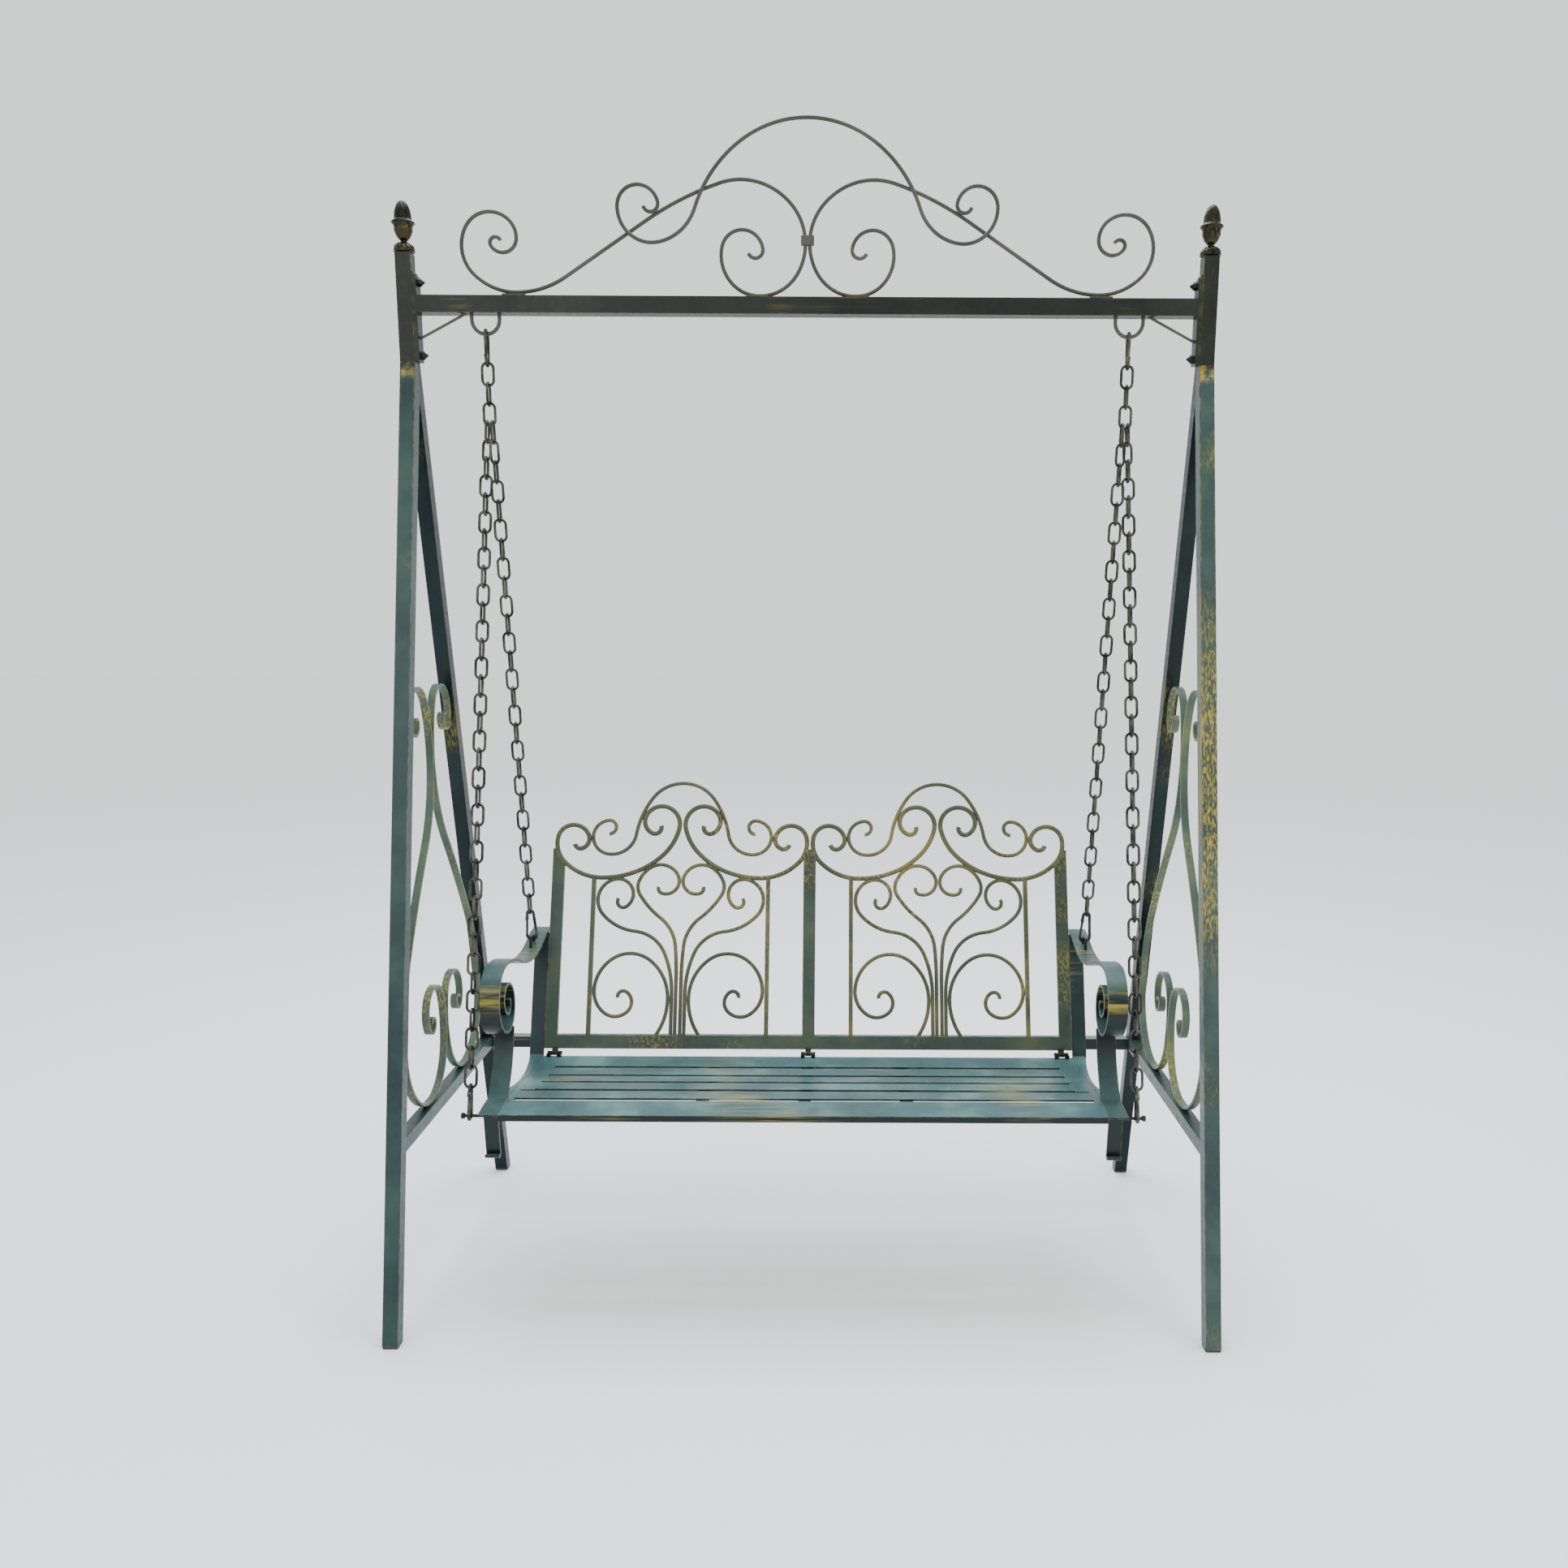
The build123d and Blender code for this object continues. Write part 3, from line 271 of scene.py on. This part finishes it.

# %% [markdown]
# One recipe, several mixes. Legs and posts are tubes along Z, so their strokes run up and
# down. The bars of the seat run along X. The posts and the beam were sprayed a darker
# olive grey, and the crest a lighter grey. The right front leg was rubbed harder than the left.

# %% Mixes of the enamel
ALONG_Z = (380.0, 380.0, 5.0)
ALONG_X = (6.0, 210.0, 210.0)
ANY_WAY = (190.0, 190.0, 110.0)
ROUND_THE_SCROLL = (8.0, 110.0, 110.0)
leg_paint = antique_enamel("teal_enamel_legs", "1f3635", "142728", "32483f", ALONG_Z, -0.15, 0.6)
rubbed_leg_paint = antique_enamel(
    "teal_enamel_rubbed_leg", "2a3e3b", "1b2f31", "3f5249", ALONG_Z, 0.05, 0.8, "c2a72a", band=(0.84, 1.16, 0.2)
)
rear_leg_paint = antique_enamel("dark_enamel_rear_legs", "0b1a1d", "071214", "132524", ALONG_Z, 0.1, 0.3, glint=0.15)
post_paint = antique_enamel("olive_enamel_posts", "171b16", "101311", "25291c", ALONG_Z, 0.15, 0.6, glint=0.15)
beam_paint = antique_enamel("grey_enamel_beam", "171b18", "101413", "242820", ALONG_X, 0.15, 0.4, "7a6d35", 0.15)
crest_paint = antique_enamel("grey_enamel_crest", "3d3e38", "2e302c", "504f44", ANY_WAY, 0.2, 0.0, "6c6342")
# the seat, the rear bar and the arms carry painted shade: a dark colour on their faces that don't look up
seat_paint = antique_enamel(
    "teal_enamel_seat", "39585a", "284548", "5b7d79", ALONG_X, 0.55, 0.6, "9c935c", shaded_sides="0b1719"
)
bar_paint = antique_enamel("teal_enamel_rear_bar", "3a6063", "264649", "5f7f7d", ALONG_X, 0.3, 0.6, shaded_sides="0e2022")
# the arms' thin band at about 0.6 m high is a painted highlight in the wax colour
arm_paint = antique_enamel(
    "teal_enamel_arms", "2c4847", "1f3739", "4c655d", ROUND_THE_SCROLL, 0.30, 0.9, "9c8f3e", shaded_sides="0d1a1b",
    band=(0.598, 0.612, 0.022),
)
back_paint = antique_enamel("teal_enamel_back", "2c3e39", "202e2c", "474e38", ANY_WAY, 0.60, 1.0)
side_paint = antique_enamel("teal_enamel_side_scrolls", "344b45", "243836", "5b6648", ANY_WAY, 0.5, 0.8)
scroll_paint = antique_enamel("brassy_enamel_scrolls", "3f4433", "2b332b", "69633c", ANY_WAY, 0.75, 0.0, "8f7f45")
print("mixes:", [m.name for m in bpy.data.materials])

# %% [markdown]
# ## Chain, hooks and bolts
# Welded chain is bright steel wire, dipped in a cheap bronze coloured wash that has gone
# dull. It is a metal, so it takes its colour from its reflections, and only the
# roughness and the cloudy darker patches of the wash tell it from polished steel.


# %% Dull bronze wash on steel
def dull_metal(name, low, high, rough, grain=300.0):
    metal = bpy.data.materials.new(name)
    metal.use_nodes = True
    shader = metal.node_tree.nodes["Principled BSDF"]
    place = add_node(metal, "ShaderNodeTexCoord").outputs["Object"]
    wash = soft_noise(metal, place, 35.0, 4.0)
    specks = soft_noise(metal, place, grain, 3.0)
    tree = metal.node_tree
    tree.links.new(ramp(metal, wash, [(0.35, linear(low)), (0.68, linear(high))]), shader.inputs["Base Color"])
    shader.inputs["Metallic"].default_value = 0.8
    rough_map = ramp(metal, specks, [(0.3, (rough - 0.1,) * 3 + (1,)), (0.7, (rough + 0.12,) * 3 + (1,))])
    tree.links.new(rough_map, shader.inputs["Roughness"])
    bump = add_node(metal, "ShaderNodeBump", inputs={"Height": specks, "Distance": 0.0001})
    bump.inputs["Strength"].default_value = 0.5
    tree.links.new(bump.outputs["Normal"], shader.inputs["Normal"])
    return metal


chain_metal = dull_metal("grey_washed_chain", "1c1e1d", "54544b", 0.34)
bolt_metal = dull_metal("painted_cap_nuts", "141716", "33352e", 0.40)
finial_metal = dull_metal("antique_brass_casting", "0c0d0a", "38341f", 0.18, 160.0)
cap_rubber = dull_metal("black_leg_caps", "1c2222", "2c3433", 0.6)
cap_rubber.node_tree.nodes["Principled BSDF"].inputs["Metallic"].default_value = 0.0

# %% [markdown]
# Every steel piece now gets its mix. The names of the pieces say where they are, so a
# short list of name starts is enough, and a name that matches none of them stops the script.

# %% Paint every steel piece
PAINTS = [
    ("leg_front_right", rubbed_leg_paint),
    ("leg_front", leg_paint),
    ("leg_rear", rear_leg_paint),
    ("side_bar_", leg_paint),
    ("rear_bar", bar_paint),
    ("side_scroll_", side_paint),
    ("post_", post_paint),
    ("beam", beam_paint),
    ("crest_", crest_paint),
    ("braces", crest_paint),
    ("hangers", crest_paint),
    ("finial_", finial_metal),
    ("foot_caps", cap_rubber),
    ("frame_bolts", bolt_metal),
    ("top_", chain_metal),
    ("gate_", chain_metal),
    ("hook_", chain_metal),
    ("chain_anchors", bolt_metal),
    ("chain_", chain_metal),
    ("seat_hinges", bolt_metal),
    ("back_hinges", bolt_metal),
    ("seat_", seat_paint),
    ("arm", arm_paint),
    ("back_arches", scroll_paint),
    ("back_rails", scroll_paint),
    ("back_", back_paint),
    ("panel_", scroll_paint),
]


def paint_for(name):
    return next(paint for start, paint in PAINTS if name.startswith(start))


for name, piece in nodes.items():
    piece.data.materials.clear()
    piece.data.materials.append(paint_for(name))
print("painted", sum(1 for p in nodes.values() if p.data.materials), "of", len(nodes))

# %% [markdown]
# ## Cast finials
# A finial like this is cast in one pour: a domed cap that sits on the post, a thin neck,
# a cup with leaf tips and an acorn with ribs that wind round it. It could be sculpted, but
# a ring that is pulled up step by step is closer to how the pattern is turned on a lathe.
# A group that marks every fourth column is copied by each extrusion, so that after a small
# turn at every step the marked columns already wind round the acorn, and pulling them in
# cuts the grooves.

# %% The stack of rings
COLUMNS = 48
POST_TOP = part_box("finial_left")[0][2]
finial_x = (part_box("finial_left")[0][0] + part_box("finial_left")[1][0]) / 2
# (radius, height above the post, turn in degrees), metres
RINGS = [
    (0.0196, 0.0040, 0), (0.0192, 0.0085, -6), (0.0172, 0.0130, -8), (0.0132, 0.0163, -9), (0.0080, 0.0182, -6),
    (0.0056, 0.0192, 0), (0.0052, 0.0204, 0), (0.0084, 0.0228, 0), (0.0122, 0.0272, 0), (0.0146, 0.0330, 0),
    (0.0160, 0.0395, 0), (0.0166, 0.0410, 0), (0.0170, 0.0475, 0), (0.0208, 0.0502, 0), (0.0215, 0.0518, 0),
    (0.0209, 0.0534, 0), (0.0170, 0.0552, 0), (0.0158, 0.0562, 0), (0.0157, 0.0600, -6), (0.0154, 0.0650, -8),
    (0.0147, 0.0700, -8), (0.0135, 0.0750, -9), (0.0117, 0.0800, -9), (0.0090, 0.0850, -9), (0.0056, 0.0888, -8),
    (0.0022, 0.0906, 0),
]
deselect_all()
bpy.ops.mesh.primitive_circle_add(vertices=COLUMNS, radius=0.0195, location=(finial_x, 0, POST_TOP))
finial = bpy.context.object
finial.name = "acorn_finial_left"
bpy.ops.object.transform_apply(location=True)
groove_group = finial.vertex_groups.new(name="groove")
groove_group.add([i for i in range(COLUMNS) if i % 4 == 0], 1.0, "REPLACE")
tip_group = finial.vertex_groups.new(name="leaf_tip")
tip_group.add([i for i in range(COLUMNS) if i % 4 == 2], 1.0, "REPLACE")
bpy.ops.object.mode_set(mode="EDIT")
bpy.ops.mesh.select_mode(type="VERT")
bpy.ops.mesh.select_all(action="SELECT")
last_radius, last_height = 0.0195, 0.0
for radius, height, turn in RINGS:
    bpy.ops.mesh.extrude_region_move(TRANSFORM_OT_translate={"value": (0, 0, height - last_height)})
    shrink = radius / last_radius
    centre = (finial_x, 0, POST_TOP + height)
    bpy.ops.transform.resize(value=(shrink, shrink, 1), center_override=centre)
    if turn:
        bpy.ops.transform.rotate(value=math.radians(-turn), orient_axis="Z", center_override=centre)
    last_radius, last_height = radius, height
bpy.ops.mesh.merge(type="CENTER")
bpy.ops.object.mode_set(mode="OBJECT")
print("rings of", COLUMNS, "make", len(finial.data.vertices), "points")


# %% Grooves, leaf tips and a closed foot
def scale_columns(group, low, high, factor):
    """Scales the marked columns about the finial's axis between two heights."""
    bpy.ops.object.mode_set(mode="EDIT")
    bpy.ops.mesh.select_all(action="DESELECT")
    bpy.ops.object.mode_set(mode="OBJECT")
    for point in finial.data.vertices:
        marked = any(g.group == group.index for g in point.groups)
        point.select = marked and low < point.co.z - POST_TOP < high
    bpy.ops.object.mode_set(mode="EDIT")
    bpy.ops.transform.resize(value=(factor, factor, 1), center_override=(finial_x, 0, POST_TOP))
    bpy.ops.object.mode_set(mode="OBJECT")


scale_columns(groove_group, 0.0575, 0.0895, 0.84)
scale_columns(groove_group, 0.0060, 0.0175, 0.86)
scale_columns(tip_group, 0.0390, 0.0400, 1.10)
scale_columns(groove_group, 0.0250, 0.0400, 0.90)
bpy.ops.object.mode_set(mode="EDIT")
bpy.ops.mesh.select_all(action="DESELECT")
bpy.ops.object.mode_set(mode="OBJECT")
for point in finial.data.vertices:
    point.select = point.co.z < POST_TOP + 0.0001
bpy.ops.object.mode_set(mode="EDIT")
bpy.ops.mesh.edge_face_add()
bpy.ops.mesh.select_all(action="SELECT")
bpy.ops.mesh.normals_make_consistent(inside=False)
bpy.ops.object.mode_set(mode="OBJECT")
smooth = finial.modifiers.new("smooth", "SUBSURF")
smooth.levels = 1
smooth.render_levels = 1
bpy.ops.object.modifier_apply(modifier="smooth")
bpy.ops.object.shade_smooth()
finial.vertex_groups.clear()
finial.data.materials.append(finial_metal)
print("finial has", len(finial.data.polygons), "faces")

# %% A copy for the right post
deselect_all()
finial.select_set(True)
bpy.context.view_layer.objects.active = finial
bpy.ops.object.duplicate(linked=False)
finial_copy = bpy.context.object
finial_copy.name = "acorn_finial_right"
bpy.ops.object.mode_set(mode="EDIT")
bpy.ops.mesh.select_all(action="SELECT")
bpy.ops.transform.translate(value=(-2 * finial_x, 0, 0))
bpy.ops.object.mode_set(mode="OBJECT")
for piece, old in ((finial, "finial_left"), (finial_copy, "finial_right")):
    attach(piece, "stand")
    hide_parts(old)
print("finials on both posts")
